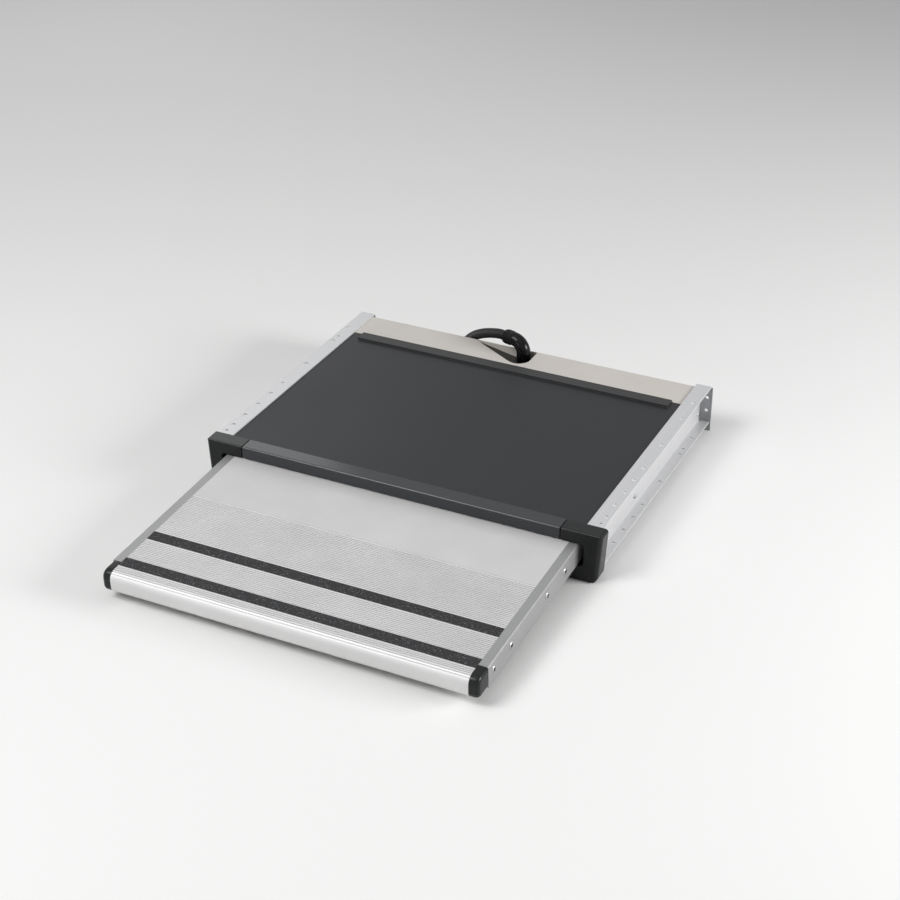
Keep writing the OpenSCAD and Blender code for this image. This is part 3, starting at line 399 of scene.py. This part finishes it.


# Mineral-coated grip tape: black grit in black resin, with the odd grain painted pale as a painted glint.
# Grit is about 0.6 mm, drawn at 1.0 mm; one grain in about twenty takes this painted glint.
grip_tape, tree, shader, place = new_finish("black_mineral_grip_tape", IOR=1.5)
grit = add(tree, "TexVoronoi", {"Vector": place, "Scale": per_mm(1.0)[0], "Randomness": 1.0})
grain_tone = add(tree, "SeparateColor", {0: grit.outputs["Color"]})
glint_painted_grain = add(tree, "MapRange", {"Value": grain_tone.outputs[0], "From Min": 0.93, "From Max": 0.99})
dark_grain = add(tree, "Mix", {0: grain_tone.outputs[1], 6: colour("#101012"), 7: colour("#1D1D1F")},
                 data_type="RGBA")
shade = add(tree, "Mix", {0: glint_painted_grain.outputs[0], 6: dark_grain.outputs[2], 7: colour("#77777A")},
            data_type="RGBA")
gloss = add(tree, "MapRange", {"Value": grain_tone.outputs[2], "To Min": 0.45, "To Max": 0.9})
relief = add(tree, "Bump", {"Height": grit.outputs["Distance"], "Distance": 0.25 * MM, "Strength": 1.0},
             invert=True)
connect(tree, shader, shade, gloss, relief)


FINISH_OF_SLOT = {
    "rail_aluminium": rail_aluminium,
    "tread_aluminium": tread_aluminium,
    "tread_rail_aluminium": tread_rail_aluminium,
    "plate_paint": plate_paint,
    "cover_paint": cover_paint,
    "bezel_paint": bezel_paint,
    "cap_plastic": cap_plastic,
    "grip_tape": grip_tape,
    "zinc_steel": zinc_steel,
    "galvanised_sheet": galvanised_sheet,
    "nylon": nylon,
    "stop_rubber": stop_rubber,
    "cast_alloy": cast_alloy,
    "motor_paint": motor_paint,
    "motor_plastic": motor_plastic,
    "bronze": bronze,
    "screw_steel": screw_steel,
    "elbow_plastic": elbow_plastic,
    "conduit_plastic": conduit_plastic,
}
SLOT_OF_NODE = {part["node"]: part["material_slot"] for part in frame["record"]["subparts"]}
BODY_OF_NODE = {
    node: body for body, nodes in frame["record"]["behaviour"]["bodies"].items() for node in nodes
}


# Making pieces

def settle(name, bm, like, crease=40):
    """Turns a finished bmesh into a piece that takes its body and its slot's finish from a node of the frame,
    and hides that node.
    """
    mesh = bpy.data.meshes.new(name)
    bm.to_mesh(mesh)
    bm.free()
    mesh.polygons.foreach_set("use_smooth", [True] * len(mesh.polygons))
    mesh.set_sharp_from_angle(angle=math.radians(crease))
    piece = bpy.data.objects.new(name, mesh)
    scene.collection.objects.link(piece)
    mesh.materials.append(FINISH_OF_SLOT[SLOT_OF_NODE[like]])
    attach(piece, BODY_OF_NODE[like])
    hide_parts(like)
    return piece


def merged_copy(node):
    """A bmesh copy of a node of the frame, merged to one skin, with its flat faces whole."""
    bm = bmesh.new()
    bm.from_mesh(frame["nodes"][node].data)
    bmesh.ops.remove_doubles(bm, verts=bm.verts, dist=MERGE_DIST * MM)
    bmesh.ops.dissolve_limit(bm, angle_limit=math.radians(FLAT_ANGLE), use_dissolve_boundaries=False,
                             verts=bm.verts, edges=bm.edges)
    return bm


def dressed(node, edge_mm, segments=2):
    """A copy of a node of the frame with its hard edges broken, as on the made piece."""
    bm = merged_copy(node)
    hard = [e for e in bm.edges if len(e.link_faces) == 2 and e.calc_face_angle(0) > math.radians(HARD_EDGE)]
    bmesh.ops.bevel(bm, geom=hard, offset=edge_mm * MM, offset_type="OFFSET", affect="EDGES",
                    segments=segments, profile=0.5, material=-1, clamp_overlap=True)
    piece = settle(node + "_dressed", bm, node)
    flats = piece.modifiers.new("flat_faces", "WEIGHTED_NORMAL")
    flats.keep_sharp = True
    return piece


def spun(profile, steps=32):
    """A bmesh of a profile of radius and height, in millimetres, turned once round the Z axis."""
    bm = bmesh.new()
    line = [bm.verts.new((r * MM, 0, z * MM)) for r, z in profile]
    line += [bm.edges.new(ends) for ends in zip(line, line[1:])]
    bmesh.ops.spin(bm, geom=line, cent=(0, 0, 0), axis=(0, 0, 1), angle=2 * math.pi, steps=steps,
                   use_merge=True)
    bmesh.ops.remove_doubles(bm, verts=bm.verts, dist=MERGE_DIST * MM)
    bmesh.ops.recalc_face_normals(bm, faces=bm.faces)
    return bm


def pan_head_screw(head_d, head_h, shank_d, shank_l):
    """A pan-head screw that stands on its seat at z = 0, with a cross pressed into its crown."""
    crown = [(head_d / 2 * across, head_h * up) for across, up in PAN_CROWN]
    bm = spun(crown + [(shank_d / 2, 0), (shank_d / 2, -shank_l), (0, -shank_l)])
    arm_w, arm_l = CROSS_W * head_d * MM, CROSS_L * head_d * MM
    for axis in ((1, 0, 0), (0, 1, 0)):
        for reach in (-arm_l, -arm_w / 2, arm_w / 2, arm_l):
            top = [f for f in bm.faces if f.normal.z > CROWN_LEAN]
            parts = set(top) | {e for f in top for e in f.edges} | {v for f in top for v in f.verts}
            bmesh.ops.bisect_plane(bm, geom=list(parts), plane_co=Vector(axis) * reach, plane_no=axis,
                                   dist=1e-7)
    cross = []
    for f in bm.faces:
        c = f.calc_center_median()
        near, far = sorted((abs(c.x), abs(c.y)))
        if f.normal.z > CROWN_LEAN and near < arm_w / 2 and far < arm_l:
            cross.append(f)
    sunk = bmesh.ops.extrude_face_region(bm, geom=cross)["geom"]
    bmesh.ops.delete(bm, geom=cross, context="FACES")
    floor = [v for v in sunk if isinstance(v, bmesh.types.BMVert)]
    for v in floor:
        v.co = Vector((CROSS_TAPER * v.co.x, CROSS_TAPER * v.co.y, CROSS_FLOOR * head_h * MM))
    # The cross's walls and floor take the second material, a painted shade
    for f in {f for v in floor for f in v.link_faces}:
        f.material_index = 1
    bmesh.ops.recalc_face_normals(bm, faces=bm.faces)
    return bm


def repeated(shape, places):
    """One bmesh with a copy of the shape at each place."""
    mesh = bpy.data.meshes.new("one_of_many")
    shape.to_mesh(mesh)
    shape.free()
    bm = bmesh.new()
    for place in places:
        start = len(bm.verts)
        bm.from_mesh(mesh)
        bm.verts.ensure_lookup_table()
        bmesh.ops.transform(bm, matrix=place, verts=bm.verts[start:])
    bpy.data.meshes.remove(mesh)
    return bm


def at_both_sides(x, spots, base=Matrix()):
    """Places left and right, at x from the middle, of a fastener that faces out, for each y, z and turn."""
    return [
        base @ Matrix.Translation((side * x * MM, y * MM, z * MM))
        @ (Matrix.Rotation(side * math.pi / 2, 4, "Y") @ Matrix.Rotation(turn, 4, "Z"))
        for side in (-1, 1) for y, z, turn in spots
    ]


def second_finish(piece, finish, chosen):
    """Gives the faces that a test picks out a finish of their own."""
    piece.data.materials.append(finish)
    for polygon in piece.data.polygons:
        if chosen(polygon):
            polygon.material_index = 1


# Case and tread: the pieces that keep their shape, with their edges broken

for side in ("left", "right"):
    dressed(side + "_side_rail", 0.35)
    dressed(side + "_corner_cap", 1.2, 4)
    dressed(side + "_tread_rail", 0.4)
dressed("rear_wall", 0.3)
dressed("bottom_tray", 0.3)
dressed("front_bezel", 1.2, 4)
dressed("plain_tread_panel", 0.1).data.materials[0] = plain_aluminium
dressed("conduit_elbow", 0.4)
conduit_plug = dressed("conduit_plug", 0.7)


# Rear cover: the slope of the recess takes the painted shade

def on_recess_slope(polygon):
    """Whether a face of the cover is on the recess's slope, and not on its rim, its back or underneath."""
    spot, normal = polygon.center, polygon.normal
    inside = RECESS_X0 * MM < spot.x < RECESS_X1 * MM
    below_rim = POCKET_LOW_Z * MM < spot.z < (PLATE_TOP_Z - RECESS_RIM) * MM
    return inside and below_rim and FRONTMOST < normal.y < REARMOST and normal.z > UNDERMOST


second_finish(dressed("rear_cover", 0.5), recess_painted_shade, on_recess_slope)


# Top plate: the raised strip along its rear edge takes the paler coat, a painted sheen

def on_raised_strip(polygon):
    strip_y = (CASE_D - REAR_COVER_D - RAISED_STRIP_D - ORIGIN_Y - STRIP_MARGIN) * MM
    return polygon.center.y > strip_y and polygon.center.z > (PLATE_TOP_Z + STRIP_FOOT) * MM


second_finish(dressed("top_plate", 0.4), strip_painted_sheen, on_raised_strip)


# Ribbed panel: the grooves, on the flat and on the nose's curve, take a darker copy of the skin as painted shade

def in_groove(polygon):
    spot = from_nose @ polygon.center / MM
    if spot.y > NOSE_TOP_R:
        depth = -spot.z
    else:
        depth = NOSE_TOP_R - math.hypot(spot.y - NOSE_TOP_R, spot.z + NOSE_TOP_R)
    return GROOVE_FROM * GROOVE_H < depth < GROOVE_TO * GROOVE_H and spot.z > -NOSE_TOP_R


from_nose = NOSE.inverted()
second_finish(dressed("ribbed_tread_panel", 0.15), groove_painted_shade, in_groove)


# Nose caps: each drawn out from its inner face, with the outer rim rounded right over

def nose_cap(node, side):
    bm = merged_copy(node)
    inner = [f for f in bm.faces if f.normal.x * side < -0.99]
    bmesh.ops.delete(bm, geom=[f for f in bm.faces if f not in inner], context="FACES")
    drawn = bmesh.ops.extrude_face_region(bm, geom=list(bm.faces))["geom"]
    outer = [v for v in drawn if isinstance(v, bmesh.types.BMVert)]
    bmesh.ops.translate(bm, verts=outer, vec=(side * (TREAD_X1 - TREAD_X0) * MM, 0, 0))
    rim = [e for e in drawn if isinstance(e, bmesh.types.BMEdge)]
    rim.sort(key=lambda e: sum(v.co.y for v in e.verts))
    bmesh.ops.bevel(bm, geom=rim[:-1], offset=NOSE_CAP_ROUND * MM, offset_type="OFFSET", affect="EDGES",
                    segments=6, profile=0.5, material=-1, clamp_overlap=True)
    bmesh.ops.recalc_face_normals(bm, faces=bm.faces)
    settle(node + "_rounded", bm, node)


nose_cap("left_nose_cap", -1)
nose_cap("right_nose_cap", 1)


# Grip strips: a fine sheet of grit with straight cut edges, set in its recess

def grip_strip(node, gap):
    across, along = 2 * TREAD_X0 * MM, GRIP_W * MM
    bm = bmesh.new()
    bmesh.ops.create_grid(bm, x_segments=GRIT_ACROSS, y_segments=GRIT_ALONG, size=0.5)
    bmesh.ops.transform(bm, matrix=Matrix.Diagonal((across, along, 1, 1)), verts=bm.verts)
    for v in bm.verts:
        if not v.is_boundary:
            fine = noise.cell(v.co * FINE_GRIT)
            coarse = noise.cell(v.co * COARSE_GRIT + Vector((7, 3, 1)))
            v.co.z += GRIT_H * MM * fine * coarse
    rim = [e for e in bm.edges if e.is_boundary]
    walls = bmesh.ops.extrude_edge_only(bm, edges=rim)["geom"]
    bottom = [v for v in walls if isinstance(v, bmesh.types.BMVert)]
    bmesh.ops.translate(bm, verts=bottom, vec=(0, 0, -(GRIP_RECESS + GRIP_PROUD) * MM))
    bmesh.ops.holes_fill(bm, edges=[e for e in bm.edges if e.is_boundary], sides=0)
    middle = Matrix.Translation((0, (gap + GRIP_W / 2) * MM, GRIP_PROUD * MM))
    bmesh.ops.transform(bm, matrix=NOSE @ middle, verts=bm.verts)
    bmesh.ops.recalc_face_normals(bm, faces=bm.faces)
    settle(node + "_grit", bm, node, crease=60)


grip_strip("front_grip_strip", FRONT_GRIP)
grip_strip("rear_grip_strip", REAR_GRIP)


# Fasteners

tread_screw_spots = [
    (row, -TREAD_SCREW_DROP, TREAD_CROSS_TURN + TREAD_CROSS_STEP * k) for k, row in enumerate(TREAD_SCREW_ROWS)
]
tread_screws = repeated(pan_head_screw(*TREAD_SCREW), at_both_sides(TREAD_X1, tread_screw_spots, NOSE))
# Each screw's cross takes the painted shade
settle("tread_screws_cross_head", tread_screws, "tread_screws").data.materials.append(cross_painted_shade)

tray_screw_spots = [(TRAY_SCREW_Y - ORIGIN_Y, TRAY_SCREW_Z, TRAY_CROSS_TURN)]
tray_screws = repeated(pan_head_screw(*TRAY_SCREW), at_both_sides(WEB_X1, tray_screw_spots))
settle("tray_screws_cross_head", tray_screws, "tray_screws").data.materials.append(cross_painted_shade)

rivet_spots = [(CASE_D - RIVET_INSET - ORIGIN_Y, z, 0) for z in RIVET_ROWS]
wall_rivets = repeated(spun(RIVET_SECTION, RIVET_STEPS), at_both_sides(WEB_X1, rivet_spots))
settle("wall_rivets_domed", wall_rivets, "wall_rivets")


# Conduit's finish and body, with the frame's conduit hidden

conduit_curve.materials.append(conduit_plastic)
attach(conduit, "case")
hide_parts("conduit")


# The pieces that keep the frame's own shape

for node, piece in frame["nodes"].items():
    piece.data.materials.clear()
    piece.data.materials.append(FINISH_OF_SLOT[SLOT_OF_NODE[node]])


# Studio: pale floor, pale surroundings and soft lamps. The surroundings give a little light all round, and look
# paler than that to the camera and in reflections.

ROUND_LIGHT, ROUND_LOOK = 0.2, 0.78
FLOOR_HALF = 6
FLOOR_GAP = 0.0002
world = bpy.data.worlds.new("studio")
world.use_nodes = True
scene.world = world
tree = world.node_tree
ray = add(tree, "LightPath").outputs
seen = add(tree, "Math", {0: ray["Is Camera Ray"], 1: ray["Is Glossy Ray"]}, operation="MAXIMUM")
seen = add(tree, "Math", {0: seen.outputs[0], 1: ray["Is Transmission Ray"]}, operation="MAXIMUM")
level = add(tree, "MapRange", {"Value": seen.outputs[0], "To Min": ROUND_LIGHT, "To Max": ROUND_LOOK})
tree.nodes["Background"].inputs["Color"].default_value = colour("#F4F5F6")
tree.links.new(level.outputs[0], tree.nodes["Background"].inputs["Strength"])

# Matt white paper: an even pale ground that keeps soft shadows
floor_paper, _, shader, _ = new_finish("pale_studio_paper", Roughness=0.9)
shader.inputs["Base Color"].default_value = colour("#F2F2F1")
bm = bmesh.new()
bmesh.ops.create_grid(bm, x_segments=1, y_segments=1, size=FLOOR_HALF)
bmesh.ops.translate(bm, verts=bm.verts, vec=(0, 0, cad_low[2] - FLOOR_GAP))
floor_mesh = bpy.data.meshes.new("floor")
bm.to_mesh(floor_mesh)
bm.free()
floor = bpy.data.objects.new("floor", floor_mesh)
floor_mesh.materials.append(floor_paper)
scene.collection.objects.link(floor)

# Each lamp: where it stands, where it aims, width and height in metres, watts
LAMPS = (
    ("overhead_panel", (-0.2, -0.9, 3.2), (0, -0.3, 0), (4.0, 4.0), 20),
    ("key_panel", (-1.25, -1.7, 2.4), (0, 0, 0.06), (1.5, 1.4), 54),
    ("right_panel", (2.72, 0.55, 0.98), (0.3, 0.1, 0.04), (1.3, 0.9), 66),
    ("low_front_panel", (-1.2, -3.0, 0.5), (0, -0.3, 0.03), (0.9, 0.9), 5),
    ("back_left_panel", (-2.0, 2.0, 1.3), (-0.2, 0.1, 0.07), (1.2, 1.2), 5),
)
for name, stand, aim, (width, height), watts in LAMPS:
    lamp_data = bpy.data.lights.new(name, "AREA")
    lamp_data.shape = "RECTANGLE"
    lamp_data.size = width
    lamp_data.size_y = height
    lamp_data.energy = watts
    lamp = bpy.data.objects.new(name, lamp_data)
    lamp.location = stand
    lamp.rotation_euler = (Vector(aim) - Vector(stand)).to_track_quat("-Z", "Y").to_euler()
    scene.collection.objects.link(lamp)
